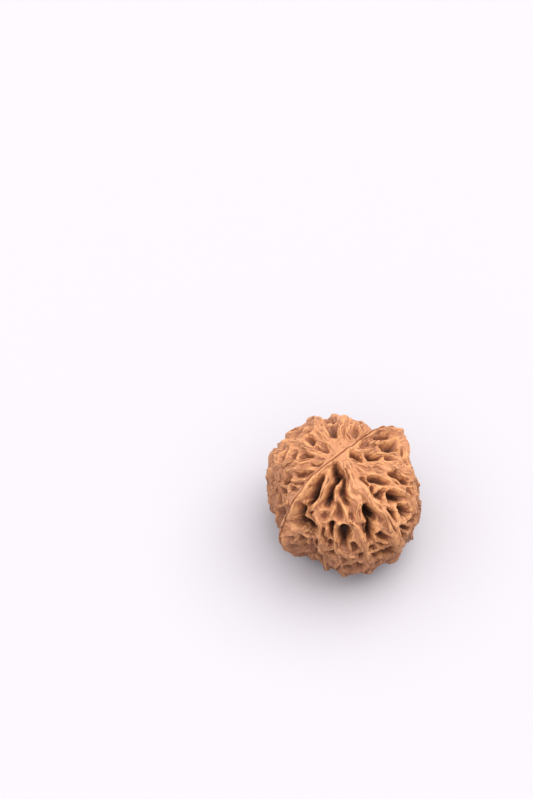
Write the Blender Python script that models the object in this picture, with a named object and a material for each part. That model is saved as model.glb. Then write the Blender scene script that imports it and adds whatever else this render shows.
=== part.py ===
# A hand walnut of the low "lion's head" form: one hard shell, grown in one piece, standing on its base with its
# blunt tip up. A broad seam ridge runs over it from side to side, ribs fan out from the tip and fork on their
# way down, and the spaces between them are deep hollows, so that the whole shell is a raised net.
#
# The tables and the relief are in millimetres, the finished mesh in metres. The seam plane is XZ, the cheeks
# face +Y and -Y, and Z runs from the base up through the tip. A place on the shell is given by two angles in
# degrees, seen from the middle of the nut: its bearing, anticlockwise from +X as seen from above, and its polar
# angle, down from the tip. The seam ridges lie at bearings 0 and 180.

import bmesh
import bpy
import numpy as np

METRES = 0.001  # one millimetre

# The smooth body under the relief
SEAM_HALF_WIDTH = 18.8  # along X, without the seam ridge
CHEEK_HALF_WIDTH = 22.3  # along Y
CROWN_RISE = 17.9  # from the widest level up to the shoulders
FOOT_DROP = 15.9  # from the widest level down to where the round base would end
FOOT_LEVEL = 15.6  # from the widest level down to the flat spot that it stands on
CROSS_ROUNDNESS = 1.96  # 2 is an ellipse from above, more is squarer
PROFILE_ROUNDNESS = 2.46  # 2 is an ellipse from the side, more has fuller shoulders
SEAM_RIDGE_RISE = 1.9
SEAM_RIDGE_SPREAD = 3.0
TIP_RISE = 1.2
TIP_SPREAD = 0.17  # radians
TIP_SHARE = 0.3  # how much of their rise the ribs have left at the tip
TIP_REACH = 0.6  # radians from the tip, where they have it all
NAVEL_RADIUS = 1.8  # the stalk scar in the middle of the base
NAVEL_DEPTH = 1.3

# The net
SHOULDER = 0.4  # how far outside a hollow's rim its wall begins
FLOOR_SHARE = 0.5  # how far in from the rim the wall ends, as a share of the half width
FLOOR_START = 0.25  # and this much more
GROWTH_SLOPE = 0.7  # how gently the grown part of a hollow falls, as a share of its growth
HALF_RIB = 0.52  # half the least width of a rib between two hollows that have grown together
SPINE_SHARE = 0.65  # the share of a listed rib's half width that no hollow cuts into
LIP_RISE = 0.2
WANDER = 0.3  # how far rims and ribs stray from their routes
WANDER_LENGTH = 6.0
STRAND_RISE = 0.22  # the fine strands that fan out from the tip
KNOB_RISE = 0.1  # uneven heights of the ribs
KNOB_LENGTH = 3.6
GROOVE_DEPTH = 0.45  # the line in the middle of the seam ridge
GROOVE_HALF_WIDTH = 0.35
FOOT_CLEAR_POLAR = 157  # no hollow below this, so that the flat spot stays whole

SPHERE_SUBDIVISIONS = 7
MOST_TRIANGLES = 11600

# Broad swellings and dips of the body: bearing, polar, radius, rise
SWELLINGS = (
    # Round the seam ridge at 0
    (347, 68, 5.0, 2.6),
    (333, 72, 3.0, -2.2),
    (21, 52, 3.6, -2.4),
    (10, 62, 4.0, -1.2),
    # Along the +Y cheek
    (54, 52, 3.5, -0.4),
    (61, 47, 2.6, -1.5),
    (96, 60, 4.5, -3.0),
    (108, 60, 2.8, -1.8),
    (122, 52, 5.0, 0.5),
    (152, 74, 7.0, -2.1),
    (168, 84, 3.5, -2.4),
    # Round the seam ridge at 180 and along the -Y cheek
    (178, 86, 4.5, 2.0),
    (201, 104, 3.6, -4.4),
    (215, 108, 3.0, -0.6),
    (212, 112, 3.0, 0.9),
    (230, 114, 6.0, 1.6),
    (262, 110, 4.0, 0.3),
    (288, 98, 3.0, -1.2),
    (310, 80, 4.0, -0.5),
)

# Raised ribs: half width, rise, then the route as (bearing, polar)
RIBS = (
    # The seam ridge, in one run over the tip, then broader where it comes down to the widest level
    (1.5, 1.9, ((179, 66), (181, 50), (181, 30), (180, 0), (0, 0), (1, 30), (0, 50), (0, 66))),
    (2.2, 1.1, ((179, 66), (179, 90), (180, 115), (180, 140))),
    (2.2, 1.1, ((0, 66), (0, 90), (0, 115), (0, 140))),
    # The cheek on the -Y side, in order from the 180 seam round to the 0 seam
    (1.1, 1.3, ((182, 12), (196, 18), (202, 28), (200, 37), (198, 46), (197, 53))),
    (0.9, 0.9, ((201, 56), (207, 62), (210, 74), (209, 90), (210, 104))),
    (0.6, 1.0, ((220, 33), (219, 42), (217, 48), (215, 56), (214, 68))),
    (0.7, 1.0, ((221, 38), (225, 43), (229, 48), (233, 54))),
    (1.1, 1.0, ((228, 14), (236, 23), (241, 33), (243, 43), (243, 54))),
    (1.9, 1.5, ((230, 9), (244, 20), (251, 31), (257, 42), (262, 53), (265, 64), (267, 74), (268, 86))),
    (1.0, 1.2, ((234, 54), (239, 59), (242, 68), (244, 80), (247, 92))),
    (0.9, 1.0, ((224, 57), (222, 68), (223, 80), (227, 86), (234, 86))),
    (1.5, 1.1, ((242, 8), (265, 16), (274, 27), (285, 34), (290, 44), (292, 54))),
    (1.0, 0.9, ((268, 8), (293, 19), (301, 30), (308, 42), (314, 52))),
    (0.9, 0.9, ((261, 46), (270, 52), (274, 60), (270, 70))),
    (0.9, 0.9, ((277, 44), (287, 50), (291, 60), (293, 70))),
    (0.8, 0.8, ((343, 5), (339, 17), (327, 28), (326, 41))),
    (0.7, 0.8, ((253, 64), (260, 67))),
    (1.1, 0.9, ((326, 41), (316, 52), (314, 64), (318, 78))),
    (0.9, 0.7, ((345, 24), (345, 38), (348, 52), (352, 62))),
    # Their branches lower on that cheek and round to the 0 seam
    (1.0, 0.8, ((210, 104), (214, 118), (211, 134), (216, 146))),
    (1.0, 0.7, ((226, 90), (223, 104), (228, 118), (225, 134))),
    (1.1, 0.9, ((247, 92), (244, 108), (249, 122), (246, 140))),
    (1.0, 0.8, ((268, 86), (270, 100), (265, 114), (270, 128), (268, 142))),
    (1.0, 0.8, ((293, 70), (290, 86), (286, 98), (291, 112), (287, 128), (292, 142))),
    (1.0, 0.7, ((303, 72), (307, 88), (303, 104), (309, 118), (306, 136))),
    (1.0, 0.8, ((318, 78), (323, 88), (320, 102), (327, 116), (324, 132), (328, 146))),
    (1.0, 0.7, ((334, 62), (338, 76), (334, 90), (341, 104), (337, 120), (342, 138))),
    (1.0, 0.7, ((194, 112), (197, 122), (194, 136))),
    # The cheek on the +Y side, from the 0 seam round to the 180 seam
    (0.7, 0.6, ((1, 10), (15, 22), (17, 34))),
    (0.8, 0.7, ((17, 34), (16, 58), (13, 74), (18, 90), (14, 106), (19, 122), (16, 140))),
    (0.8, 0.7, ((9, 4), (37, 20), (39, 40), (34, 52), (31, 64), (27, 76), (33, 92))),
    (0.8, 0.7, ((33, 92), (29, 108), (34, 124), (31, 142))),
    (1.3, 0.8, ((83, 3), (54, 16), (51, 32), (50, 52), (45, 64), (43, 76), (48, 90))),
    (0.9, 0.8, ((48, 90), (44, 104), (50, 120), (46, 138))),
    (0.8, 0.7, ((50, 52), (56, 62), (59, 76), (56, 90), (62, 106), (58, 122), (64, 138))),
    (1.0, 0.8, ((70, 46), (71, 60), (74, 74), (70, 88), (77, 102), (73, 118), (79, 136))),
    (1.2, 0.8, ((127, 5), (86, 18), (83, 30), (79, 48), (85, 60), (90, 76), (86, 92))),
    (0.8, 0.7, ((86, 92), (92, 108), (88, 124), (94, 144))),
    (0.8, 0.7, ((94, 62), (101, 76), (98, 92), (105, 106), (101, 122), (107, 138))),
    (1.5, 0.9, ((154, 14), (131, 22), (117, 32), (112, 41), (112, 60), (110, 76), (117, 92))),
    (1.0, 0.8, ((117, 92), (112, 108), (119, 124), (116, 142))),
    (1.1, 0.8, ((169, 17), (146, 26), (143, 36), (138, 46), (132, 58), (127, 78), (124, 92))),
    (0.8, 0.7, ((124, 92), (131, 106), (127, 122), (133, 136))),
    (1.1, 0.8, ((175, 23), (158, 30), (148, 40), (143, 52), (140, 64), (142, 78), (138, 92))),
    (0.9, 0.8, ((138, 92), (145, 108), (141, 124), (147, 142))),
    (0.8, 0.7, ((182, 34), (169, 38), (157, 48))),
    (0.8, 0.7, ((157, 76), (152, 90), (158, 106), (154, 122), (160, 136))),
    (0.8, 0.7, ((168, 62), (164, 76), (167, 92), (164, 108), (169, 126), (167, 142))),
)

# Hollows: half width, depth, then the two ends as bearing and polar
HOLLOWS = (
    # Flutes in front of the tip, on the -Y cheek
    (1.5, 4.6, 214, 16, 211, 27),
    (1.3, 4.4, 209, 28, 208, 45),
    (1.0, 3.6, 190, 30, 192, 50),
    (0.5, 1.6, 210, 47, 210, 54),
    (1.1, 2.8, 228, 24, 232, 42),
    (0.6, 1.4, 235, 43, 236, 51),
    (0.6, 1.8, 224, 45, 222, 52),
    # Beside the seam ridge at 180
    (1.3, 4.2, 188, 55, 186, 62),
    (2.4, 6.4, 190, 67, 197, 68),
    (0.6, 3.6, 196, 56, 199, 58),
    (0.6, 3.2, 197, 77, 203, 76),
    (1.1, 5.4, 194, 84, 194, 100),
    (0.7, 1.6, 184, 88, 188, 86),
    (0.6, 1.8, 186, 96, 186, 102),
    (0.8, 2.8, 200, 83, 201, 90),
    (0.6, 2.4, 206, 80, 205, 90),
    (0.5, 1.8, 212, 66, 213, 78),
    # The middle of the cheek
    (0.8, 4.6, 218, 60, 220, 66),
    (0.6, 4.6, 216, 74, 216, 80),
    (1.3, 4.0, 228, 62, 227, 76),
    (0.8, 3.4, 216, 90, 221, 88),
    (0.7, 3.2, 216, 101, 221, 100),
    (0.8, 3.4, 228, 92, 233, 90),
    (0.8, 3.4, 229, 102, 232, 103),
    (0.8, 3.2, 234, 113, 238, 112),
    (0.8, 3.2, 238, 100, 241, 101),
    (0.6, 2.4, 234, 76, 236, 80),
    (0.6, 2.4, 239, 86, 240, 90),
    # The deep pits to the right of it
    (1.8, 6.4, 249, 51, 252, 56),
    (1.0, 5.2, 250, 58, 248, 72),
    (0.7, 4.6, 248, 80, 250, 82),
    (0.9, 4.2, 254, 69, 259, 76),
    (0.6, 4.6, 254, 79, 258, 83),
    (1.8, 6.2, 253, 90, 260, 92),
    (0.5, 2.6, 245, 60, 245, 67),
    # The right half of the cheek
    (0.7, 3.4, 270, 32, 281, 41),
    (0.8, 1.8, 258, 29, 262, 32),
    (0.8, 2.2, 265, 36, 261, 42),
    (1.0, 3.8, 267, 44, 274, 45),
    (1.4, 4.2, 278, 51, 283, 56),
    (1.2, 2.8, 268, 57, 271, 62),
    (1.4, 4.2, 280, 62, 282, 70),
    (0.5, 2.6, 281, 77, 288, 80),
    (0.6, 3.0, 274, 76, 282, 84),
    (1.0, 3.0, 270, 78, 273, 86),
    (0.9, 3.2, 297, 42, 304, 58),
    (0.6, 2.4, 306, 62, 304, 66),
    (0.5, 1.4, 296, 60, 298, 66),
    # Between that and the seam ridge at 0
    (1.0, 4.2, 298, 9, 308, 15),
    (1.1, 4.6, 321, 20, 321, 26),
    (0.5, 1.4, 348, 17, 335, 27),
    (0.7, 3.6, 336, 36, 341, 49),
    (0.5, 1.8, 350, 33, 352, 44),
    (0.5, 1.6, 318, 35, 322, 44),
    (0.5, 2.2, 338, 56, 332, 54),
    (0.6, 2.0, 324, 52, 323, 56),
    # The cheek on the +Y side, as far as it is seen from above
    (0.9, 2.6, 101, 35, 108, 29),
    (1.0, 1.4, 111, 23, 116, 16),
    (0.9, 1.6, 94, 44, 92, 40),
    (1.0, 2.4, 62, 36, 66, 25),
    (0.7, 1.8, 126, 51, 122, 49),
    (0.6, 2.2, 129, 41, 132, 41),
    (1.0, 2.2, 133, 34, 136, 28),
    (0.8, 1.3, 157, 23, 162, 21),
    (0.8, 2.2, 150, 58, 152, 52),
    (0.8, 1.8, 156, 40, 163, 34),
    (0.6, 1.1, 169, 32, 175, 30),
    (0.9, 1.9, 150, 69, 158, 62),
    (0.6, 2.0, 165, 52, 169, 48),
    (0.7, 1.3, 162, 46, 167, 42),
    (0.5, 1.8, 148, 77, 150, 84),
    (0.8, 2.0, 171, 64, 172, 70),
    (0.7, 2.0, 171, 78, 170, 84),
    (0.8, 2.2, 172, 94, 172, 98),
    (0.5, 1.4, 30, 32, 24, 22),
)

# The rest of the net follows a rule: hollows are tried at seeded places and kept where they leave a gap to
# every other hollow and to the ribs. Each line is a kind: tries, first and last polar, half widths, lengths,
# depths, how far it may lean away from straight down, and the least gap
RULE_SEED = 41
KINDS = (
    (500, 24, 62, 0.7, 1.2, 3.5, 8.0, 1.2, 2.6, 12, 0.9),
    (1500, 46, 146, 0.9, 1.7, 1.0, 4.5, 2.2, 3.8, 25, 0.9),
    (1800, 40, 152, 0.6, 1.1, 0.6, 3.5, 1.6, 3.2, 50, 0.9),
    (2400, 24, 156, 0.4, 0.7, 0.2, 2.2, 0.9, 2.2, 80, 0.8),
)
LISTED_BEARING = 228  # the listed hollows are those round this place
LISTED_POLAR = 35
LISTED_REACH = 66  # degrees from that place
LISTED_LOWEST = 90  # and not below this polar angle
LISTED_GROWTH = 0.5  # how far a listed hollow grows towards its neighbours
RULE_GROWTH = 1.2  # and how far one of the others does


def body_radius(way):
    """How far the smooth body reaches along each unit direction."""
    upright = np.where(way[:, 2] > 0, CROWN_RISE, FOOT_DROP)
    across = np.abs(way[:, 0] / SEAM_HALF_WIDTH) ** CROSS_ROUNDNESS
    across += np.abs(way[:, 1] / CHEEK_HALF_WIDTH) ** CROSS_ROUNDNESS
    across = across ** (1 / CROSS_ROUNDNESS)
    total = across ** PROFILE_ROUNDNESS + np.abs(way[:, 2] / upright) ** PROFILE_ROUNDNESS
    radius = total ** (-1 / PROFILE_ROUNDNESS)

    flat = np.hypot(way[:, 0], way[:, 1])
    beside_seam = radius * np.abs(way[:, 1])
    radius = radius + SEAM_RIDGE_RISE * np.exp(-(beside_seam / SEAM_RIDGE_SPREAD) ** 2) * flat
    from_tip = np.arctan2(flat, way[:, 2])
    return radius + TIP_RISE * np.exp(-(from_tip / TIP_SPREAD) ** 2)


def direction(bearing, polar):
    """The unit directions of places given in degrees."""
    turn = np.radians(bearing)
    down = np.radians(polar)
    return np.stack((np.cos(turn) * np.sin(down), np.sin(turn) * np.sin(down), np.cos(down)), axis=-1)


def on_body(way):
    return way * body_radius(way)[:, None]


def ripple(points, length, seed, waves=16):
    """A smooth wandering value of about -1 to 1: a sum of seeded sine waves."""
    draw = np.random.RandomState(seed)
    total = np.zeros(len(points))
    for _ in range(waves):
        heading = draw.normal(size=3)
        heading *= draw.uniform(0.7, 1.4) * 2 * np.pi / length / np.linalg.norm(heading)
        total += np.sin(points @ heading + draw.uniform(0, 2 * np.pi))
    return total * 1.4 / np.sqrt(waves)


def route_points(places, step=7.0):
    """A route of (bearing, polar) places as points on the body, close enough to follow its curve."""
    places = np.array(places, dtype=float)
    bearings = []
    polars = []
    for (b0, p0), (b1, p1) in zip(places[:-1], places[1:]):
        count = max(1, int(np.ceil(max(abs(p1 - p0), abs(b1 - b0) * np.sin(np.radians(p0))) / step)))
        share = np.arange(count) / count
        bearings.extend(b0 + (b1 - b0) * share)
        polars.extend(p0 + (p1 - p0) * share)
    bearings.append(places[-1][0])
    polars.append(places[-1][1])
    return on_body(direction(np.array(bearings), np.array(polars)))


def distance_to_route(points, route):
    """How far each point is from a chain of straight pieces."""
    nearest = np.full(len(points), np.inf)
    for start, end in zip(route[:-1], route[1:]):
        piece = end - start
        share = np.clip((points - start) @ piece / max(piece @ piece, 1e-9), 0, 1)
        gap = points - start - share[:, None] * piece
        nearest = np.minimum(nearest, np.einsum("ij,ij->i", gap, gap))
    return np.sqrt(nearest)


def near(points, route, reach):
    """Which points are close enough to a route to be touched by it."""
    middle = route.mean(axis=0)
    span = np.linalg.norm(route - middle, axis=1).max() + reach
    away = points - middle
    return np.flatnonzero(np.einsum("ij,ij->i", away, away) < span * span)


def smooth_step(value):
    value = np.clip(value, 0, 1)
    return value * value * (3 - 2 * value)


def is_listed(bearing, polar):
    """Whether a place belongs to the part of the shell whose hollows are listed."""
    if polar > LISTED_LOWEST:
        return False
    here = direction(bearing, polar)
    return here @ direction(LISTED_BEARING, LISTED_POLAR) > np.cos(np.radians(LISTED_REACH))


def listed_hollows():
    """Each hollow is its half width, depth, growth and route."""
    hollows = []
    for half_width, depth, b0, p0, b1, p1 in HOLLOWS:
        hollows.append((half_width, depth, LISTED_GROWTH, route_points(((b0, p0), (b1, p1)))))
    return hollows


def listed_ribs():
    return [(half_width, rise, route_points(places)) for half_width, rise, places in RIBS]


def try_hollow(draw, kind):
    """One seeded hollow of a kind, or nothing when it falls where it may not be."""
    _, top, bottom, narrow, wide, short, long, shallow, deep, lean, _ = kind
    bearing = draw.uniform(0, 360)
    height = draw.uniform(np.cos(np.radians(bottom)), np.cos(np.radians(top)))
    polar = np.degrees(np.arccos(height))
    half_width, length, depth = draw.uniform((narrow, short, shallow), (wide, long, deep))
    tilt = np.radians(draw.uniform(-lean, lean))
    reach = np.degrees(length / 2 / 20.0)
    sideways = reach * np.sin(tilt) / np.sin(np.radians(polar))
    down = reach * np.cos(tilt)
    lowest = polar + down + np.degrees(half_width / 18.0)
    if is_listed(bearing, polar) or lowest > FOOT_CLEAR_POLAR:
        return None
    ends = ((bearing - sideways, polar - down), (bearing + sideways, polar + down))
    return half_width, depth, RULE_GROWTH, route_points(ends)


def rule_hollows(hollows, ribs):
    """Fill the rest of the shell, from the largest kind of hollow to the smallest."""
    draw = np.random.RandomState(RULE_SEED)
    kept = list(hollows)
    samples = np.concatenate([hollow_samples(hollow) for hollow in kept])
    spines = np.concatenate([rib_samples(rib) for rib in ribs])
    for kind in KINDS:
        for _ in range(kind[0]):
            found = try_hollow(draw, kind)
            if found is not None and clear_of(found, samples, kind[-1]) and clear_of(found, spines, 0.25):
                kept.append(found)
                samples = np.concatenate((samples, hollow_samples(found)))
    return kept


def along(route, step=0.6):
    """Points close together all along a route."""
    found = [route[-1:]]
    for start, end in zip(route[:-1], route[1:]):
        count = max(1, int(np.linalg.norm(end - start) / step))
        found.append(start + (end - start) * (np.arange(count) / count)[:, None])
    return np.concatenate(found)


def hollow_samples(hollow):
    places = along(hollow[3])
    return np.hstack((places, np.full((len(places), 1), hollow[0])))


def rib_samples(rib):
    places = along(rib[2])
    return np.hstack((places, np.full((len(places), 1), SPINE_SHARE * rib[0])))


def clear_of(found, samples, gap):
    """Whether a hollow keeps a gap to all the places in a list, each a point and its half width."""
    middle = found[3].mean(axis=0)
    close = samples[((samples[:, :3] - middle) ** 2).sum(axis=1) < 100.0]
    away = distance_to_route(close[:, :3], found[3]) - close[:, 3]
    return len(close) == 0 or away.min() > found[0] + gap


def hollow_relief(points, hollows, spine):
    """How deep the hollows cut at each point, and how far outside the nearest rim it is.

    A hollow always covers its own trough. Beyond that it grows by its growth, but leaves a rib between it and
    the next hollow, and nothing cuts into the spine of a listed rib.
    """
    first = np.full(len(points), 4.0)
    second = np.full(len(points), 4.0)
    depth = np.zeros(len(points))
    growth = np.zeros(len(points))
    wall = np.ones(len(points))
    for half_width, deepest, grown, route in hollows:
        index = near(points, route, half_width + 4.0)
        outside = distance_to_route(points[index], route) - half_width
        nearer = outside < first[index]
        second[index] = np.where(nearer, first[index], np.minimum(second[index], outside))
        closest = index[nearer]
        first[closest] = outside[nearer]
        depth[closest] = deepest
        growth[closest] = grown
        wall[closest] = SHOULDER + FLOOR_START + FLOOR_SHARE * half_width + GROWTH_SLOPE * grown
    inside = np.minimum(growth - first, np.maximum((second - first) / 2 - HALF_RIB, -first))
    inside = np.minimum(inside, spine)
    return depth * smooth_step((inside + SHOULDER) / wall), -inside


def rib_relief(points, ribs):
    """How far the ribs stand up at each point, and how far outside the nearest rib's spine it is."""
    raised = np.zeros(len(points))
    spine = np.full(len(points), 4.0)
    for half_width, rise, route in ribs:
        index = near(points, route, half_width + 4.0)
        away = distance_to_route(points[index], route)
        raised[index] += (rise * smooth_step(1 - (away / half_width) ** 2)) ** 3
        spine[index] = np.minimum(spine[index], away - SPINE_SHARE * half_width)
    return np.cbrt(raised), spine


def swelling_relief(points):
    raised = np.zeros(len(points))
    for bearing, polar, radius, rise in SWELLINGS:
        middle = on_body(direction(np.array([bearing]), np.array([polar])))[0]
        away = ((points - middle) ** 2).sum(axis=1)
        raised += rise * np.exp(-away / radius ** 2)
    return raised


def strand_relief(points, way):
    """Fine strands that fan out from the tip and fade out down the cheeks."""
    polar = np.arctan2(np.hypot(way[:, 0], way[:, 1]), way[:, 2])
    fan = way / np.maximum(np.hypot(way[:, 0], way[:, 1]), 1e-6)[:, None]
    fan[:, 2] = polar * 0.35
    fade = smooth_step((polar - 0.1) / 0.25) * smooth_step((1.35 - polar) / 0.6)
    return STRAND_RISE * fade * (np.abs(ripple(fan * 10.0, 1.7, 7)) - 0.7)


def seam_groove(points):
    """The line between the two halves, in the middle of the seam ridge."""
    beside = np.abs(points[:, 1])
    return GROOVE_DEPTH * smooth_step(1 - beside / GROOVE_HALF_WIDTH)


def navel_relief(way):
    """The stalk scar: a small bowl in the middle of the base."""
    from_axis = FOOT_LEVEL * np.hypot(way[:, 0], way[:, 1]) / np.maximum(-way[:, 2], 0.05)
    inside = smooth_step((NAVEL_RADIUS - from_axis) / (0.6 * NAVEL_RADIUS))
    return np.where(way[:, 2] < 0, NAVEL_DEPTH * inside, 0)


def shell_radius(way, hollows, ribs):
    """The whole formula: how far the shell reaches along each unit direction."""
    points = on_body(way)
    drift = np.stack([ripple(points, WANDER_LENGTH, seed) for seed in (1, 2, 3)], axis=1)
    moved = points + WANDER * drift
    ribbed, spine = rib_relief(moved, ribs)
    from_tip = np.arctan2(np.hypot(way[:, 0], way[:, 1]), way[:, 2])
    ribbed *= TIP_SHARE + (1 - TIP_SHARE) * smooth_step(from_tip / TIP_REACH)
    sunk, outside = hollow_relief(moved, hollows, spine)
    lip = LIP_RISE * np.exp(-((outside - 0.6) / 0.35) ** 2)
    raised = ribbed + lip + strand_relief(moved, way) + swelling_relief(points)
    raised += KNOB_RISE * ripple(points, KNOB_LENGTH, 5)
    radius = np.linalg.norm(points, axis=1) + raised - sunk - seam_groove(points + 0.4 * WANDER * drift)
    foot = FOOT_LEVEL / np.maximum(-way[:, 2], 0.05)
    radius = np.where(way[:, 2] < -0.3, np.minimum(radius, foot), radius)
    return radius - navel_relief(way)


def shell_mesh():
    """A fine sphere whose points are moved to where the formula puts the shell."""
    mesh = bpy.data.meshes.new("walnut_shell")
    shape = bmesh.new()
    bmesh.ops.create_icosphere(shape, subdivisions=SPHERE_SUBDIVISIONS, radius=1.0)
    shape.to_mesh(mesh)
    shape.free()
    way = np.empty(len(mesh.vertices) * 3)
    mesh.vertices.foreach_get("co", way)
    way = way.reshape(-1, 3)
    way /= np.linalg.norm(way, axis=1)[:, None]
    ribs = listed_ribs()
    hollows = rule_hollows(listed_hollows(), ribs)
    points = way * shell_radius(way, hollows, ribs)[:, None]
    low = points.min(axis=0)
    high = points.max(axis=0)
    points -= (low[0] / 2 + high[0] / 2, low[1] / 2 + high[1] / 2, low[2])
    mesh.vertices.foreach_set("co", (points * METRES).ravel())
    mesh.update()
    return mesh


def shell_material():
    """Dry, satin, oil-polished shell."""
    material = bpy.data.materials.new("walnut_shell")
    material.use_nodes = True
    surface = material.node_tree.nodes["Principled BSDF"]
    surface.inputs["Base Color"].default_value = (0.50, 0.21, 0.107, 1.0)
    surface.inputs["Roughness"].default_value = 0.5
    surface.inputs["Metallic"].default_value = 0.0
    return material


def thin_out(nut):
    """Bring the fine mesh down to what the faceted solid may hold."""
    thinning = nut.modifiers.new("thin_out", "DECIMATE")
    thinning.decimate_type = "COLLAPSE"
    thinning.ratio = MOST_TRIANGLES / len(nut.data.polygons)
    thinning.use_collapse_triangulate = True


for old in list(bpy.data.objects):
    bpy.data.objects.remove(old, do_unlink=True)

collection = bpy.data.collections.new("walnut")
bpy.context.scene.collection.children.link(collection)
walnut = bpy.data.objects.new("walnut", shell_mesh())
walnut.data.materials.append(shell_material())
collection.objects.link(walnut)
thin_out(walnut)
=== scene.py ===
import math

import bmesh
import bpy
import numpy as np
from mathutils import Matrix, Vector


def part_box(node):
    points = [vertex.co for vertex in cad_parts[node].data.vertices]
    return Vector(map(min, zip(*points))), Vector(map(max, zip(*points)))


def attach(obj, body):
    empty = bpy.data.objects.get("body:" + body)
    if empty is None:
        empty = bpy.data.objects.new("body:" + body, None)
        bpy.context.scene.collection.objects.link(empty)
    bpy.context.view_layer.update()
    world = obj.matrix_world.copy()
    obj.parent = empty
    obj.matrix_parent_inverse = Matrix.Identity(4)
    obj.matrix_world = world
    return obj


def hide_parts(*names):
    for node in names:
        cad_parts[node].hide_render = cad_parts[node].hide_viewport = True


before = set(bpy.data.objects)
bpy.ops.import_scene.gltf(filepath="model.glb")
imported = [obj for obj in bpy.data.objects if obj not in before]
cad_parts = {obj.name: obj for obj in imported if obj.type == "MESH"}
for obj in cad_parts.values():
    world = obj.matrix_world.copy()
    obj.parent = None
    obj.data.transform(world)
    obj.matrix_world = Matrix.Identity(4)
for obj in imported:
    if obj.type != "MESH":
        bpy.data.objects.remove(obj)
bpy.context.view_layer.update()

# The smooth body of the shell
# A hand walnut is one hard, thick shell, a little broader across its cheeks than along its seam, with full
# shoulders, a blunt tip and a small flat base. Lengths are in millimetres here, and a place on the shell is
# a bearing, anticlockwise from +X, and a polar angle down from the tip, in degrees.
MILLIMETRE = 0.001
seam_half_width = 18.8
cheek_half_width = 22.3
crown_rise = 17.9
foot_drop = 15.9
foot_level = 15.6
cross_roundness = 1.96
profile_roundness = 2.46
seam_ridge_rise = 1.9
seam_ridge_spread = 3.0
tip_rise = 1.2
tip_spread = 0.17
ripple_gain = 1.4

# Swellings and dips of the body: bearing, polar, radius, rise
swellings = (
    # Round the seam ridge at 0
    (347, 68, 5.0, 2.6),
    (333, 72, 3.0, -2.2),
    (21, 52, 3.6, -2.4),
    (10, 62, 4.0, -1.2),
    # Along the +Y cheek
    (54, 52, 3.5, -0.4),
    (61, 47, 2.6, -1.5),
    (96, 60, 4.5, -3.0),
    (108, 60, 2.8, -1.8),
    (122, 52, 5.0, 0.5),
    (152, 74, 7.0, -2.1),
    (168, 84, 3.5, -2.4),
    # Round the seam ridge at 180 and along the -Y cheek
    (178, 86, 4.5, 2.0),
    (201, 104, 3.6, -4.4),
    (215, 108, 3.0, -0.6),
    (212, 112, 3.0, 0.9),
    (230, 114, 6.0, 1.6),
    (262, 110, 4.0, 0.3),
    (288, 98, 3.0, -1.2),
    (310, 80, 4.0, -0.5),
)


def body_radius(way):
    """Distance from the middle of the nut to its smooth body, along each direction."""
    upright = np.where(way[:, 2] > 0, crown_rise, foot_drop)
    across = np.abs(way[:, 0] / seam_half_width) ** cross_roundness
    across += np.abs(way[:, 1] / cheek_half_width) ** cross_roundness
    across = across ** (1 / cross_roundness)
    total = across ** profile_roundness + np.abs(way[:, 2] / upright) ** profile_roundness
    radius = total ** (-1 / profile_roundness)
    flat = np.hypot(way[:, 0], way[:, 1])
    beside_seam = radius * np.abs(way[:, 1])
    radius = radius + seam_ridge_rise * np.exp(-(beside_seam / seam_ridge_spread) ** 2) * flat
    from_tip = np.arctan2(flat, way[:, 2])
    return radius + tip_rise * np.exp(-(from_tip / tip_spread) ** 2)


def direction(bearing, polar):
    """Unit direction of a place on the shell."""
    turn = np.radians(bearing)
    down = np.radians(polar)
    return np.stack((np.cos(turn) * np.sin(down), np.sin(turn) * np.sin(down), np.cos(down)), axis=-1)


def on_body(way):
    return way * body_radius(way)[:, None]


def smooth_step(value):
    value = np.clip(value, 0, 1)
    return value * value * (3 - 2 * value)


def ripple(points, length, seed, waves=16):
    """A smooth, irregular wave through space, mostly from -1 to 1, with about one crest in each length."""
    draw = np.random.RandomState(seed)
    total = np.zeros(len(points))
    for _ in range(waves):
        heading = draw.normal(size=3)
        heading *= draw.uniform(0.7, 1.4) * 2 * np.pi / length / np.linalg.norm(heading)
        total += np.sin(points @ heading + draw.uniform(0, 2 * np.pi))
    return total * ripple_gain / np.sqrt(waves)


def swelling_relief(points):
    raised = np.zeros(len(points))
    for bearing, polar, radius, rise in swellings:
        middle = on_body(direction(np.array([bearing]), np.array([polar])))[0]
        away = ((points - middle) ** 2).sum(axis=1)
        raised += rise * np.exp(-away / radius ** 2)
    return raised


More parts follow.
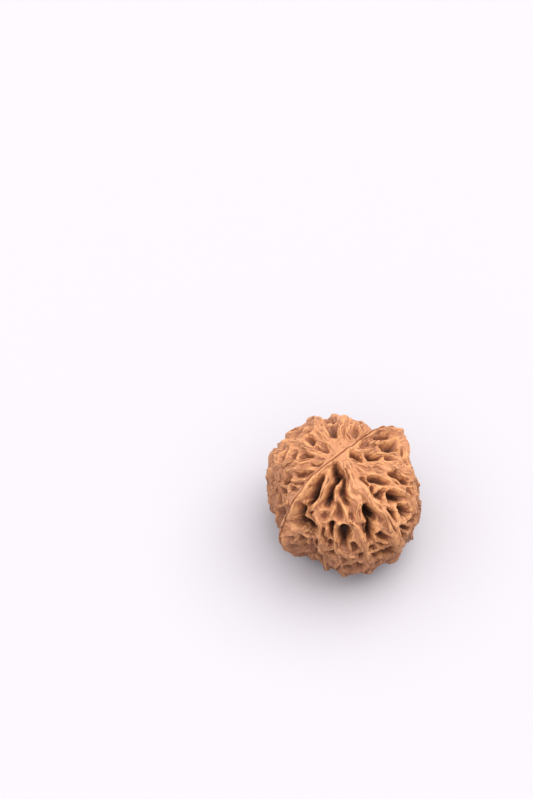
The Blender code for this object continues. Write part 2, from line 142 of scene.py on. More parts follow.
# The ribs and the seam ridge
# Ribs are bundles of hard strands that fan out from the tip and fork on their way down the cheeks. The seam
# ridge, where the two halves of the shell have grown together, is the broadest of them and runs over the tip.
# Each is half its width, its rise and its route as (bearing, polar) places.
ribs = (
    # The seam ridge, in one run over the tip, then broader where it comes down to the widest level
    (1.5, 1.9, ((179, 66), (181, 50), (181, 30), (180, 0), (0, 0), (1, 30), (0, 50), (0, 66))),
    (2.2, 1.1, ((179, 66), (179, 90), (180, 115), (180, 140))),
    (2.2, 1.1, ((0, 66), (0, 90), (0, 115), (0, 140))),
    # The cheek on the -Y side, in order from the 180 seam round to the 0 seam
    (1.1, 1.3, ((182, 12), (196, 18), (202, 28), (200, 37), (198, 46), (197, 53))),
    (0.9, 0.9, ((201, 56), (207, 62), (210, 74), (209, 90), (210, 104))),
    (0.6, 1.0, ((220, 33), (219, 42), (217, 48), (215, 56), (214, 68))),
    (0.7, 1.0, ((221, 38), (225, 43), (229, 48), (233, 54))),
    (1.1, 1.0, ((228, 14), (236, 23), (241, 33), (243, 43), (243, 54))),
    (1.9, 1.5, ((230, 9), (244, 20), (251, 31), (257, 42), (262, 53), (265, 64), (267, 74), (268, 86))),
    (1.0, 1.2, ((234, 54), (239, 59), (242, 68), (244, 80), (247, 92))),
    (0.9, 1.0, ((224, 57), (222, 68), (223, 80), (227, 86), (234, 86))),
    (1.5, 1.1, ((242, 8), (265, 16), (274, 27), (285, 34), (290, 44), (292, 54))),
    (1.0, 0.9, ((268, 8), (293, 19), (301, 30), (308, 42), (314, 52))),
    (0.9, 0.9, ((261, 46), (270, 52), (274, 60), (270, 70))),
    (0.9, 0.9, ((277, 44), (287, 50), (291, 60), (293, 70))),
    (0.8, 0.8, ((343, 5), (339, 17), (327, 28), (326, 41))),
    (0.7, 0.8, ((253, 64), (260, 67))),
    (1.1, 0.9, ((326, 41), (316, 52), (314, 64), (318, 78))),
    (0.9, 0.7, ((345, 24), (345, 38), (348, 52), (352, 62))),
    # Their branches lower on that cheek and round to the 0 seam
    (1.0, 0.8, ((210, 104), (214, 118), (211, 134), (216, 146))),
    (1.0, 0.7, ((226, 90), (223, 104), (228, 118), (225, 134))),
    (1.1, 0.9, ((247, 92), (244, 108), (249, 122), (246, 140))),
    (1.0, 0.8, ((268, 86), (270, 100), (265, 114), (270, 128), (268, 142))),
    (1.0, 0.8, ((293, 70), (290, 86), (286, 98), (291, 112), (287, 128), (292, 142))),
    (1.0, 0.7, ((303, 72), (307, 88), (303, 104), (309, 118), (306, 136))),
    (1.0, 0.8, ((318, 78), (323, 88), (320, 102), (327, 116), (324, 132), (328, 146))),
    (1.0, 0.7, ((334, 62), (338, 76), (334, 90), (341, 104), (337, 120), (342, 138))),
    (1.0, 0.7, ((194, 112), (197, 122), (194, 136))),
    # The cheek on the +Y side, from the 0 seam round to the 180 seam
    (0.7, 0.6, ((1, 10), (15, 22), (17, 34))),
    (0.8, 0.7, ((17, 34), (16, 58), (13, 74), (18, 90), (14, 106), (19, 122), (16, 140))),
    (0.8, 0.7, ((9, 4), (37, 20), (39, 40), (34, 52), (31, 64), (27, 76), (33, 92))),
    (0.8, 0.7, ((33, 92), (29, 108), (34, 124), (31, 142))),
    (1.3, 0.8, ((83, 3), (54, 16), (51, 32), (50, 52), (45, 64), (43, 76), (48, 90))),
    (0.9, 0.8, ((48, 90), (44, 104), (50, 120), (46, 138))),
    (0.8, 0.7, ((50, 52), (56, 62), (59, 76), (56, 90), (62, 106), (58, 122), (64, 138))),
    (1.0, 0.8, ((70, 46), (71, 60), (74, 74), (70, 88), (77, 102), (73, 118), (79, 136))),
    (1.2, 0.8, ((127, 5), (86, 18), (83, 30), (79, 48), (85, 60), (90, 76), (86, 92))),
    (0.8, 0.7, ((86, 92), (92, 108), (88, 124), (94, 144))),
    (0.8, 0.7, ((94, 62), (101, 76), (98, 92), (105, 106), (101, 122), (107, 138))),
    (1.5, 0.9, ((154, 14), (131, 22), (117, 32), (112, 41), (112, 60), (110, 76), (117, 92))),
    (1.0, 0.8, ((117, 92), (112, 108), (119, 124), (116, 142))),
    (1.1, 0.8, ((169, 17), (146, 26), (143, 36), (138, 46), (132, 58), (127, 78), (124, 92))),
    (0.8, 0.7, ((124, 92), (131, 106), (127, 122), (133, 136))),
    (1.1, 0.8, ((175, 23), (158, 30), (148, 40), (143, 52), (140, 64), (142, 78), (138, 92))),
    (0.9, 0.8, ((138, 92), (145, 108), (141, 124), (147, 142))),
    (0.8, 0.7, ((182, 34), (169, 38), (157, 48))),
    (0.8, 0.7, ((157, 76), (152, 90), (158, 106), (154, 122), (160, 136))),
    (0.8, 0.7, ((168, 62), (164, 76), (167, 92), (164, 108), (169, 126), (167, 142))),
)
spine_share = 0.65
tip_share = 0.3
tip_reach = 0.6
search_reach = 4.0


def route_points(places, step=7.0):
    """Points on the smooth body along a route, at most a step of degrees apart."""
    places = np.array(places, dtype=float)
    bearings = []
    polars = []
    for (b0, p0), (b1, p1) in zip(places[:-1], places[1:]):
        count = max(1, int(np.ceil(max(abs(p1 - p0), abs(b1 - b0) * np.sin(np.radians(p0))) / step)))
        share = np.arange(count) / count
        bearings.extend(b0 + (b1 - b0) * share)
        polars.extend(p0 + (p1 - p0) * share)
    bearings.append(places[-1][0])
    polars.append(places[-1][1])
    return on_body(direction(np.array(bearings), np.array(polars)))


def distance_to_route(points, route):
    nearest = np.full(len(points), np.inf)
    for start, end in zip(route[:-1], route[1:]):
        piece = end - start
        share = np.clip((points - start) @ piece / max(piece @ piece, 1e-9), 0, 1)
        gap = points - start - share[:, None] * piece
        nearest = np.minimum(nearest, np.einsum("ij,ij->i", gap, gap))
    return np.sqrt(nearest)


def near(points, route, reach):
    """Numbers of the points that can lie within reach of a route."""
    middle = route.mean(axis=0)
    span = np.linalg.norm(route - middle, axis=1).max() + reach
    away = points - middle
    return np.flatnonzero(np.einsum("ij,ij->i", away, away) < span * span)


rib_routes = [(half_width, rise, route_points(places)) for half_width, rise, places in ribs]


def rib_relief(points):
    """Rise of the ribs, and the distances to the nearest rib's crown and to its middle line."""
    raised = np.zeros(len(points))
    spine = np.full(len(points), search_reach)
    across = np.full(len(points), search_reach)
    for half_width, rise, route in rib_routes:
        index = near(points, route, half_width + search_reach)
        away = distance_to_route(points[index], route)
        raised[index] += (rise * smooth_step(1 - (away / half_width) ** 2)) ** 3
        spine[index] = np.minimum(spine[index], away - spine_share * half_width)
        across[index] = np.minimum(across[index], away)
    return np.cbrt(raised), spine, across


# The hollows between the ribs
# Deep rounded troughs lie between the ribs, each cut off from the next by a rib, so that the whole shell is a
# raised net. Those on the side that the camera sees are listed: half width, depth, then both ends as bearing
# and polar. The rest are tried at seeded places and kept where they leave a rib to all the others.
listed_hollows = (
    # Flutes in front of the tip, on the -Y cheek
    (1.5, 4.6, 214, 16, 211, 27),
    (1.3, 4.4, 209, 28, 208, 45),
    (1.0, 3.6, 190, 30, 192, 50),
    (0.5, 1.6, 210, 47, 210, 54),
    (1.1, 2.8, 228, 24, 232, 42),
    (0.6, 1.4, 235, 43, 236, 51),
    (0.6, 1.8, 224, 45, 222, 52),
    # Beside the seam ridge at 180
    (1.3, 4.2, 188, 55, 186, 62),
    (2.4, 6.4, 190, 67, 197, 68),
    (0.6, 3.6, 196, 56, 199, 58),
    (0.6, 3.2, 197, 77, 203, 76),
    (1.1, 5.4, 194, 84, 194, 100),
    (0.7, 1.6, 184, 88, 188, 86),
    (0.6, 1.8, 186, 96, 186, 102),
    (0.8, 2.8, 200, 83, 201, 90),
    (0.6, 2.4, 206, 80, 205, 90),
    (0.5, 1.8, 212, 66, 213, 78),
    # The middle of the cheek
    (0.8, 4.6, 218, 60, 220, 66),
    (0.6, 4.6, 216, 74, 216, 80),
    (1.3, 4.0, 228, 62, 227, 76),
    (0.8, 3.4, 216, 90, 221, 88),
    (0.7, 3.2, 216, 101, 221, 100),
    (0.8, 3.4, 228, 92, 233, 90),
    (0.8, 3.4, 229, 102, 232, 103),
    (0.8, 3.2, 234, 113, 238, 112),
    (0.8, 3.2, 238, 100, 241, 101),
    (0.6, 2.4, 234, 76, 236, 80),
    (0.6, 2.4, 239, 86, 240, 90),
    # The deep pits to the right of it
    (1.8, 6.4, 249, 51, 252, 56),
    (1.0, 5.2, 250, 58, 248, 72),
    (0.7, 4.6, 248, 80, 250, 82),
    (0.9, 4.2, 254, 69, 259, 76),
    (0.6, 4.6, 254, 79, 258, 83),
    (1.8, 6.2, 253, 90, 260, 92),
    (0.5, 2.6, 245, 60, 245, 67),
    # The right half of the cheek
    (0.7, 3.4, 270, 32, 281, 41),
    (0.8, 1.8, 258, 29, 262, 32),
    (0.8, 2.2, 265, 36, 261, 42),
    (1.0, 3.8, 267, 44, 274, 45),
    (1.4, 4.2, 278, 51, 283, 56),
    (1.2, 2.8, 268, 57, 271, 62),
    (1.4, 4.2, 280, 62, 282, 70),
    (0.5, 2.6, 281, 77, 288, 80),
    (0.6, 3.0, 274, 76, 282, 84),
    (1.0, 3.0, 270, 78, 273, 86),
    (0.9, 3.2, 297, 42, 304, 58),
    (0.6, 2.4, 306, 62, 304, 66),
    (0.5, 1.4, 296, 60, 298, 66),
    # Between that and the seam ridge at 0
    (1.0, 4.2, 298, 9, 308, 15),
    (1.1, 4.6, 321, 20, 321, 26),
    (0.5, 1.4, 348, 17, 335, 27),
    (0.7, 3.6, 336, 36, 341, 49),
    (0.5, 1.8, 350, 33, 352, 44),
    (0.5, 1.6, 318, 35, 322, 44),
    (0.5, 2.2, 338, 56, 332, 54),
    (0.6, 2.0, 324, 52, 323, 56),
    # The cheek on the +Y side, as far as it is seen from above
    (0.9, 2.6, 101, 35, 108, 29),
    (1.0, 1.4, 111, 23, 116, 16),
    (0.9, 1.6, 94, 44, 92, 40),
    (1.0, 2.4, 62, 36, 66, 25),
    (0.7, 1.8, 126, 51, 122, 49),
    (0.6, 2.2, 129, 41, 132, 41),
    (1.0, 2.2, 133, 34, 136, 28),
    (0.8, 1.3, 157, 23, 162, 21),
    (0.8, 2.2, 150, 58, 152, 52),
    (0.8, 1.8, 156, 40, 163, 34),
    (0.6, 1.1, 169, 32, 175, 30),
    (0.9, 1.9, 150, 69, 158, 62),
    (0.6, 2.0, 165, 52, 169, 48),
    (0.7, 1.3, 162, 46, 167, 42),
    (0.5, 1.8, 148, 77, 150, 84),
    (0.8, 2.0, 171, 64, 172, 70),
    (0.7, 2.0, 171, 78, 170, 84),
    (0.8, 2.2, 172, 94, 172, 98),
    (0.5, 1.4, 30, 32, 24, 22),
)
shoulder = 0.4
floor_share = 0.5
floor_start = 0.25
growth_slope = 0.7
half_rib = 0.52
rib_gap = 0.25
neighbourhood = 10.0
mean_radius = 20.0
low_radius = 18.0
foot_clear_polar = 157
listed_bearing = 228
listed_polar = 35
listed_reach = 66
listed_lowest = 90
listed_growth = 0.5
rule_growth = 1.2
rule_seed = 41

# Tries, first and last polar, half widths, lengths, depths, lean in degrees and least gap
hollow_kinds = (
    (500, 24, 62, 0.7, 1.2, 3.5, 8.0, 1.2, 2.6, 12, 0.9),
    (1500, 46, 146, 0.9, 1.7, 1.0, 4.5, 2.2, 3.8, 25, 0.9),
    (1800, 40, 152, 0.6, 1.1, 0.6, 3.5, 1.6, 3.2, 50, 0.9),
    (2400, 24, 156, 0.4, 0.7, 0.2, 2.2, 0.9, 2.2, 80, 0.8),
)


def is_listed(bearing, polar):
    if polar > listed_lowest:
        return False
    here = direction(bearing, polar)
    return here @ direction(listed_bearing, listed_polar) > np.cos(np.radians(listed_reach))


def try_hollow(draw, kind):
    """One seeded hollow of a kind, or None where it would lie among the listed ones or on the foot."""
    _, top, bottom, narrow, wide, short, long, shallow, deep, lean, _ = kind
    bearing = draw.uniform(0, 360)
    height = draw.uniform(np.cos(np.radians(bottom)), np.cos(np.radians(top)))
    polar = np.degrees(np.arccos(height))
    half_width, length, depth = draw.uniform((narrow, short, shallow), (wide, long, deep))
    tilt = np.radians(draw.uniform(-lean, lean))
    reach = np.degrees(length / 2 / mean_radius)
    sideways = reach * np.sin(tilt) / np.sin(np.radians(polar))
    down = reach * np.cos(tilt)
    lowest = polar + down + np.degrees(half_width / low_radius)
    if is_listed(bearing, polar) or lowest > foot_clear_polar:
        return None
    ends = ((bearing - sideways, polar - down), (bearing + sideways, polar + down))
    return half_width, depth, rule_growth, route_points(ends)


def along(route, step=0.6):
    """Points along a route, at most a step of millimetres apart."""
    found = [route[-1:]]
    for start, end in zip(route[:-1], route[1:]):
        count = max(1, int(np.linalg.norm(end - start) / step))
        found.append(start + (end - start) * (np.arange(count) / count)[:, None])
    return np.concatenate(found)


def with_width(route, half_width):
    places = along(route)
    return np.hstack((places, np.full((len(places), 1), half_width)))


def clear_of(found, samples, gap):
    """Whether a hollow keeps a gap to all the points, each given with the half width that it stands for."""
    middle = found[3].mean(axis=0)
    close = samples[((samples[:, :3] - middle) ** 2).sum(axis=1) < neighbourhood ** 2]
    away = distance_to_route(close[:, :3], found[3]) - close[:, 3]
    return len(close) == 0 or away.min() > found[0] + gap


hollows = []
for half_width, depth, b0, p0, b1, p1 in listed_hollows:
    hollows.append((half_width, depth, listed_growth, route_points(((b0, p0), (b1, p1)))))
spines = np.concatenate([with_width(route, spine_share * half_width) for half_width, _, route in rib_routes])
taken = np.concatenate([with_width(hollow[3], hollow[0]) for hollow in hollows])
draw = np.random.RandomState(rule_seed)
for kind in hollow_kinds:
    for _ in range(kind[0]):
        found = try_hollow(draw, kind)
        if found is not None and clear_of(found, taken, kind[-1]) and clear_of(found, spines, rib_gap):
            hollows.append(found)
            taken = np.concatenate((taken, with_width(found[3], found[0])))


def hollow_relief(points, spine):
    """Depth of the hollows, and the distance outside the nearest rim."""
    first = np.full(len(points), search_reach)
    second = np.full(len(points), search_reach)
    depth = np.zeros(len(points))
    growth = np.zeros(len(points))
    wall = np.ones(len(points))
    for half_width, deepest, grown, route in hollows:
        index = near(points, route, half_width + search_reach)
        outside = distance_to_route(points[index], route) - half_width
        nearer = outside < first[index]
        second[index] = np.where(nearer, first[index], np.minimum(second[index], outside))
        closest = index[nearer]
        first[closest] = outside[nearer]
        depth[closest] = deepest
        growth[closest] = grown
        wall[closest] = shoulder + floor_start + floor_share * half_width + growth_slope * grown
    inside = np.minimum(growth - first, np.maximum((second - first) / 2 - half_rib, -first))
    inside = np.minimum(inside, spine)
    return depth * smooth_step((inside + shoulder) / wall), -inside


# The skin of the shell
# Fine strands fan out from the tip, the hollows have lips and uneven floors, a groove parts the halves along
# the seam ridge, and there are cracks along the ribs, shallow creases low down and the stalk scar in the
# base. Where strands and creases start and end down the shell is an angle from the tip in radians.
lip_rise = 0.2
lip_distance = 0.6
lip_spread = 0.35
wander = 0.3
wander_length = 6.0
wander_seeds = (1, 2, 3)
strand_rise = 0.22
strand_spacing = 1.7
strand_fan_radius = 10.0
strand_stretch = 0.35
strand_level = 0.7
strand_start = 0.1
strand_start_span = 0.25
strand_end = 1.35
strand_end_span = 0.6
strand_seed = 7
knob_rise = 0.1
knob_length = 3.6
knob_seed = 5
floor_unevenness = 0.45
floor_spacing = 1.9
floor_depth = 2.5
floor_seed = 13
crease_depth = 0.4
crease_spacing = 3.6
crease_width = 0.45
crease_start = 0.85
crease_start_span = 0.6
crease_seed = 17
crack_depth = 0.3
crack_half_width = 0.3
crack_length = 7.0
crack_level = 0.5
crack_seed = 11
groove_depth = 0.45
groove_half_width = 0.35
groove_wander = 0.4
clear_of_groove = 1.5
navel_radius = 1.8
navel_depth = 1.3
navel_slope = 0.6
underside = -0.3
least_drop = 0.05


def angle_from_tip(way):
    return np.arctan2(np.hypot(way[:, 0], way[:, 1]), way[:, 2])


def strand_relief(points, way):
    polar = angle_from_tip(way)
    fan = way / np.maximum(np.hypot(way[:, 0], way[:, 1]), 1e-6)[:, None]
    fan[:, 2] = polar * strand_stretch
    fade = smooth_step((polar - strand_start) / strand_start_span)
    fade = fade * smooth_step((strand_end - polar) / strand_end_span)
    waves = np.abs(ripple(fan * strand_fan_radius, strand_spacing, strand_seed))
    return strand_rise * fade * (waves - strand_level)


def crease_relief(points, from_tip):
    creased = np.minimum(np.abs(ripple(points, crease_spacing, crease_seed)) / crease_width, 1) - 1
    return crease_depth * smooth_step((from_tip - crease_start) / crease_start_span) * creased


def crack_relief(points, across, beside):
    crack = smooth_step(1 - across / crack_half_width)
    crack = crack * smooth_step(ripple(points, crack_length, crack_seed) + crack_level)
    return crack * smooth_step(beside / clear_of_groove - 1)


def navel_relief(way):
    from_axis = foot_level * np.hypot(way[:, 0], way[:, 1]) / np.maximum(-way[:, 2], least_drop)
    inside = smooth_step((navel_radius - from_axis) / (navel_slope * navel_radius))
    return np.where(way[:, 2] < 0, navel_depth * inside, 0)


def shell_radius(way):
    """Distance from the middle of the nut to its shell, with what the finish needs to know of each place."""
    points = on_body(way)
    drift = np.stack([ripple(points, wander_length, seed) for seed in wander_seeds], axis=1)
    moved = points + wander * drift
    ribbed, spine, across = rib_relief(moved)
    from_tip = angle_from_tip(way)
    ribbed *= tip_share + (1 - tip_share) * smooth_step(from_tip / tip_reach)
    sunk, outside = hollow_relief(moved, spine)
    lip = lip_rise * np.exp(-((outside - lip_distance) / lip_spread) ** 2)
    raised = ribbed + lip + strand_relief(moved, way) + swelling_relief(points)
    raised += knob_rise * ripple(points, knob_length, knob_seed)
    floor = smooth_step(sunk / floor_depth)
    raised -= floor_unevenness * floor * np.abs(ripple(points, floor_spacing, floor_seed))
    raised += crease_relief(points, from_tip)
    beside = np.abs(points[:, 1] + groove_wander * wander * drift[:, 1])
    groove = smooth_step(1 - beside / groove_half_width)
    crack = crack_relief(points, across, beside)
    radius = np.linalg.norm(points, axis=1) + raised - sunk - groove_depth * groove - crack_depth * crack
    foot = foot_level / np.maximum(-way[:, 2], least_drop)
    radius = np.where(way[:, 2] < underside, np.minimum(radius, foot), radius)
    return radius - navel_relief(way), sunk, outside, across, np.maximum(groove, crack)


# The mesh of the shell
# One closed skin: an even net of small faces round a ball, moved out to where the shell lies. Its points are
# drawn together on the steep walls of the hollows, so that the walls are as finely drawn as the ribs.
face_rows = 128
gathering_rounds = 4
easing_rounds = 2
gathering_power = 1.2
blur_share = 0.6
crest_blur = 12
crest_height = 0.8
hollow_blur = 60
hollow_height = 2.2
full_depth = 6.0
shape = bmesh.new()
bmesh.ops.create_cube(shape, size=2.0)
bmesh.ops.subdivide_edges(shape, edges=shape.edges[:], cuts=face_rows - 1, use_grid_fill=True)
shell_mesh = bpy.data.meshes.new("walnut_shell")
shape.to_mesh(shell_mesh)
shape.free()
count = len(shell_mesh.vertices)
way = np.empty(count * 3)
shell_mesh.vertices.foreach_get("co", way)
way = np.tan(way.reshape(-1, 3) * math.pi / 4)
way /= np.linalg.norm(way, axis=1)[:, None]
edge_ends = np.empty(len(shell_mesh.edges) * 2, dtype=np.int32)
shell_mesh.edges.foreach_get("vertices", edge_ends)
one_end, other_end = edge_ends.reshape(-1, 2).T


def gather(values):
    """For each point, the sum over its edges of a value given for the point at the other end."""
    total = np.bincount(one_end, values[other_end], count)
    return total + np.bincount(other_end, values[one_end], count)


def edge_sum(values):
    """For each point, the sum of a value over its edges."""
    return np.bincount(one_end, values, count) + np.bincount(other_end, values, count)


edges_per_point = edge_sum(np.ones(len(one_end)))
for _ in range(gathering_rounds):
    radius = shell_radius(way)[0]
    place = way * radius[:, None]
    pull = np.linalg.norm(place[one_end] - place[other_end], axis=1) ** gathering_power
    total = edge_sum(pull)
    for _ in range(easing_rounds):
        drawn = np.empty_like(way)
        for axis in range(3):
            towards = np.bincount(one_end, pull * way[other_end, axis], count)
            towards += np.bincount(other_end, pull * way[one_end, axis], count)
            drawn[:, axis] = towards / total
        way = way * 0.5 + drawn * 0.5
        way /= np.linalg.norm(way, axis=1)[:, None]
radius, sunk, outside, across, line = shell_radius(way)
place = way * radius[:, None]
low = place.min(axis=0)
high = place.max(axis=0)
cad_low, cad_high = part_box("walnut")
middle = Vector((low[0] + high[0], low[1] + high[1], 2 * low[2])) / 2
foot_middle = Vector(((cad_low.x + cad_high.x) / 2, (cad_low.y + cad_high.y) / 2, cad_low.z))
shift = np.array(foot_middle) / MILLIMETRE - np.array(middle)
shell_mesh.vertices.foreach_set("co", ((place + shift) * MILLIMETRE).ravel())


def blurred(values, rounds):
    """Values on the points, each mixed so many times with those of its neighbours."""
    for _ in range(rounds):
        values = values * (1 - blur_share) + blur_share * gather(values) / edges_per_point
    return values


def keep_on_points(name, values):
    layer = shell_mesh.attributes.new(name, "FLOAT", "POINT")
    layer.data.foreach_set("value", values.astype(np.float32))


keep_on_points("crest", np.clip((radius - blurred(radius, crest_blur)) / crest_height * 0.5 + 0.5, 0, 1))
# Painted shade follows these two: the hollow value darkens places lying below their neighbours, the depth
# value the deepest hollows.
keep_on_points("hollow", np.clip((blurred(radius, hollow_blur) - radius) / hollow_height, 0, 1))
keep_on_points("depth", np.clip(sunk / full_depth, 0, 1))
keep_on_points("line", line)
keep_on_points("from_rib", across)
keep_on_points("from_rim", outside)
for face in shell_mesh.polygons:
    face.use_smooth = True
shell_mesh.update()
walnut_shell = bpy.data.objects.new("walnut_shell", shell_mesh)
bpy.context.scene.collection.objects.link(walnut_shell)

# The finish of the shell
# Dry walnut shell, rubbed in the hand until satin: orange tan on the ribs, pinkish brown in the hollows with
# painted shade deepening it, painted shade nearly black in the deepest of them and over the lower part, and
# darker strands and cracks.
# Grains are waves to the metre, and a span is where something starts and where it is complete.
rib_tan = (0.55, 0.243, 0.087, 1)
rib_pink_tan = (0.495, 0.234, 0.113, 1)
flank_brown = (0.34, 0.13, 0.059, 1)
flank_tan = (0.43, 0.186, 0.093, 1)
# The shell's pinkish brown for the hollows, with painted shade in it
hollow_brown_and_shade = (0.235, 0.092, 0.048, 1)
# Painted shade, nearly black, for the deepest hollows
pit_painted_shade = (0.0383, 0.0138, 0.00765, 1)
strand_brown = (0.229, 0.0803, 0.0306, 1)
# Golden strand colour, partly the grain's own and partly painted highlight
strand_gold_and_highlight = (0.61, 0.305, 0.130, 1)
crack_brown = (0.168, 0.0497, 0.0168, 1)
seam_brown = (0.184, 0.0459, 0.0107, 1)
# Painted shade for the lower part of the shell
low_shade = (0.65, 0.615, 0.655, 1)
none = (0, 0, 0, 1)
whole = (1, 1, 1, 1)
noise_roughness = 0.55
shell_finish = bpy.data.materials.new("walnut_shell")
shell_finish.use_nodes = True
nodes = shell_finish.node_tree.nodes
links = shell_finish.node_tree.links
surface = nodes["Principled BSDF"]


def feed(socket, value):
    if isinstance(value, (int, float, tuple)):
        socket.default_value = value
    else:
        links.new(value, socket)


def on_points(name):
    node = nodes.new("ShaderNodeAttribute")
    node.attribute_name = name
    return node.outputs["Fac"]


def work_out(operation, first, second=0.0, clamp=False):
    node = nodes.new("ShaderNodeMath")
    node.operation = operation
    node.use_clamp = clamp
    feed(node.inputs[0], first)
    feed(node.inputs[1], second)
    return node.outputs[0]


def add(first, second):
    return work_out("ADD", first, second)


def times(first, second):
    return work_out("MULTIPLY", first, second)


def less(first, second):
    return work_out("SUBTRACT", first, second)


def move(operation, first, second=None):
    """Arithmetic on places, where the second is a plain value or another place."""
    node = nodes.new("ShaderNodeVectorMath")
    node.operation = operation
    feed(node.inputs[0], first)
    if second is not None:
        feed(node.inputs[1], second)
    return node


def mix_colours(share, first, second, blend="MIX"):
    node = nodes.new("ShaderNodeMix")
    node.data_type = "RGBA"
    node.blend_type = blend
    for name, value in (("Factor_Float", share), ("A_Color", first), ("B_Color", second)):
        feed(next(socket for socket in node.inputs if socket.identifier == name), value)
    return next(socket for socket in node.outputs if socket.identifier == "Result_Color")


def noise(place, grain, detail):
    node = nodes.new("ShaderNodeTexNoise")
    node.inputs["Scale"].default_value = grain
    node.inputs["Detail"].default_value = detail
    node.inputs["Roughness"].default_value = noise_roughness
    links.new(place, node.inputs["Vector"])
    return node.outputs["Fac"]


def between(value, span, first=none, last=whole):
    """An eased share that goes from first to last as the value goes from one end of the span to the other."""
    node = nodes.new("ShaderNodeValToRGB")
    node.color_ramp.interpolation = "EASE"
    for element, position, share in zip(node.color_ramp.elements, span, (first, last)):
        element.position = position
        element.color = share
    links.new(value, node.inputs["Fac"])
    return node.outputs["Color"]


# Strands run down from the tip like the ribs of a fan, so their noise is spread by bearing and stretched the
# other way, and strays a little from side to side. It fades out at the tip, where the strands run together.
fan_radius = 0.015
fan_stretch = 0.16
fan_stray = (0.0013, 0.0013, 0.0)
fan_start = 0.007
stray_grain = 170.0
strand_grain = 820.0
crack_grain = 520.0
place_on_shell = nodes.new("ShaderNodeTexCoord").outputs["Object"]
sideways = move("MULTIPLY", place_on_shell, (1.0, 1.0, 0.0)).outputs["Vector"]
spread = move("SCALE", move("NORMALIZE", sideways).outputs["Vector"])
spread.inputs["Scale"].default_value = fan_radius
from_axis = move("LENGTH", sideways).outputs["Value"]
heights = nodes.new("ShaderNodeSeparateXYZ")
links.new(place_on_shell, heights.inputs[0])
height_on_shell = heights.outputs["Z"]
lengthwise = nodes.new("ShaderNodeCombineXYZ")
links.new(times(less(from_axis, height_on_shell), fan_stretch), lengthwise.inputs["Z"])
fan_place = move("ADD", spread.outputs["Vector"], lengthwise.outputs["Vector"]).outputs["Vector"]
stray = nodes.new("ShaderNodeTexNoise")
stray.inputs["Scale"].default_value = stray_grain
links.new(place_on_shell, stray.inputs["Vector"])
strayed = move("MULTIPLY_ADD", stray.outputs["Color"], fan_stray)
links.new(fan_place, strayed.inputs[2])
strayed_place = strayed.outputs["Vector"]
off_tip = work_out("DIVIDE", from_axis, fan_start, clamp=True)
fan_strands = add(times(less(noise(strayed_place, strand_grain, 3.0), 0.5), off_tip), 0.5)
fan_cracks = noise(strayed_place, crack_grain, 1.0)

# Other strands keep beside the ribs and round the rims of the hollows
rib_strand_spacing = 0.55
rim_strand_spacing = 0.6
rib_strand_sway = 1.3
rim_strand_sway = 1.5
rib_strand_reach = 1.8
rim_strand_reach = 1.6
beside_share = 0.32
fan_share = 0.85
wavering_grain = 420.0
strand_lowering = 0.105
wavering = noise(place_on_shell, wavering_grain, 2.0)
from_rib = on_points("from_rib")
from_rim = on_points("from_rim")


def strand_lines(distance, spacing, sway):
    """Fine lines that keep the same distance from a rib's middle or a hollow's rim."""
    shifted = add(distance, times(wavering, sway))
    turned = work_out("SINE", times(shifted, 2 * math.pi / spacing))
    return add(times(turned, 0.5), 0.5)


rib_strands = strand_lines(from_rib, rib_strand_spacing, rib_strand_sway)
rim_strands = strand_lines(from_rim, rim_strand_spacing, rim_strand_sway)
near_rib = work_out("SUBTRACT", 1.0, work_out("DIVIDE", from_rib, rib_strand_reach, clamp=True), clamp=True)
off_rim = work_out("ABSOLUTE", work_out("DIVIDE", from_rim, rim_strand_reach))
near_rim = work_out("SUBTRACT", 1.0, off_rim, clamp=True)
rim_share = times(near_rim, less(1.0, near_rib))
plain_share = less(1.0, add(near_rib, rim_share))
strands = add(times(rib_strands, near_rib), times(rim_strands, rim_share))
strands = add(strands, times(plain_share, 0.5))
strands = add(times(strands, beside_share), times(fan_strands, fan_share))
strands = less(strands, strand_lowering)

# Pores, mottling and cracks, the last only in some places
pore_grain = 2600.0
mottle_grain = 160.0
patch_grain = 55.0
crack_width = 0.022
cracked_span = (0.46, 0.58)
pores = noise(place_on_shell, pore_grain, 3.0)
mottle = noise(place_on_shell, mottle_grain, 4.0)
patches = noise(place_on_shell, patch_grain, 2.0)
off_crack = work_out("DIVIDE", work_out("ABSOLUTE", less(fan_cracks, 0.5)), crack_width)
cracks = times(work_out("SUBTRACT", 1.0, off_crack, clamp=True), off_tip)
cracks = times(cracks, between(mottle, cracked_span))

# Colours, from the flanks and ribs down to the pits, then strands and cracks over them
crest_span = (0.46, 0.66)
off_rim_span = (0.1, 0.6)
off_rim_share = 0.4
hollow_span = (0.02, 0.42)
hollow_mottle = 0.35
hollow_brown_share = 0.8
pit_span = (0.2, 0.66)
pit_mottle = 0.3
dark_strand_span = (0.36, 0.45)
dark_strand_share = 0.62
bright_strand_span = (0.5, 0.64)
bright_strand_share = 0.4
crack_share = 0.85
seam_line_span = (0.08, 0.6)
low_end_height = 0.025
low_span = (0.4, 1.0)
hollow = on_points("hollow")
uneven = less(mottle, 0.5)
rib_colour = mix_colours(patches, rib_tan, rib_pink_tan)
flank_colour = mix_colours(mottle, flank_brown, flank_tan)
on_ribs = times(between(from_rim, off_rim_span), off_rim_share)
crest_share = work_out("MAXIMUM", between(on_points("crest"), crest_span), on_ribs)
colour = mix_colours(crest_share, flank_colour, rib_colour)
# Pinkish brown in the hollows: partly the shell's own colour, partly painted shade where a place lies below
# its neighbours
hollow_share = between(add(hollow, times(uneven, hollow_mottle)), hollow_span)
colour = mix_colours(times(hollow_share, hollow_brown_share), colour, hollow_brown_and_shade)
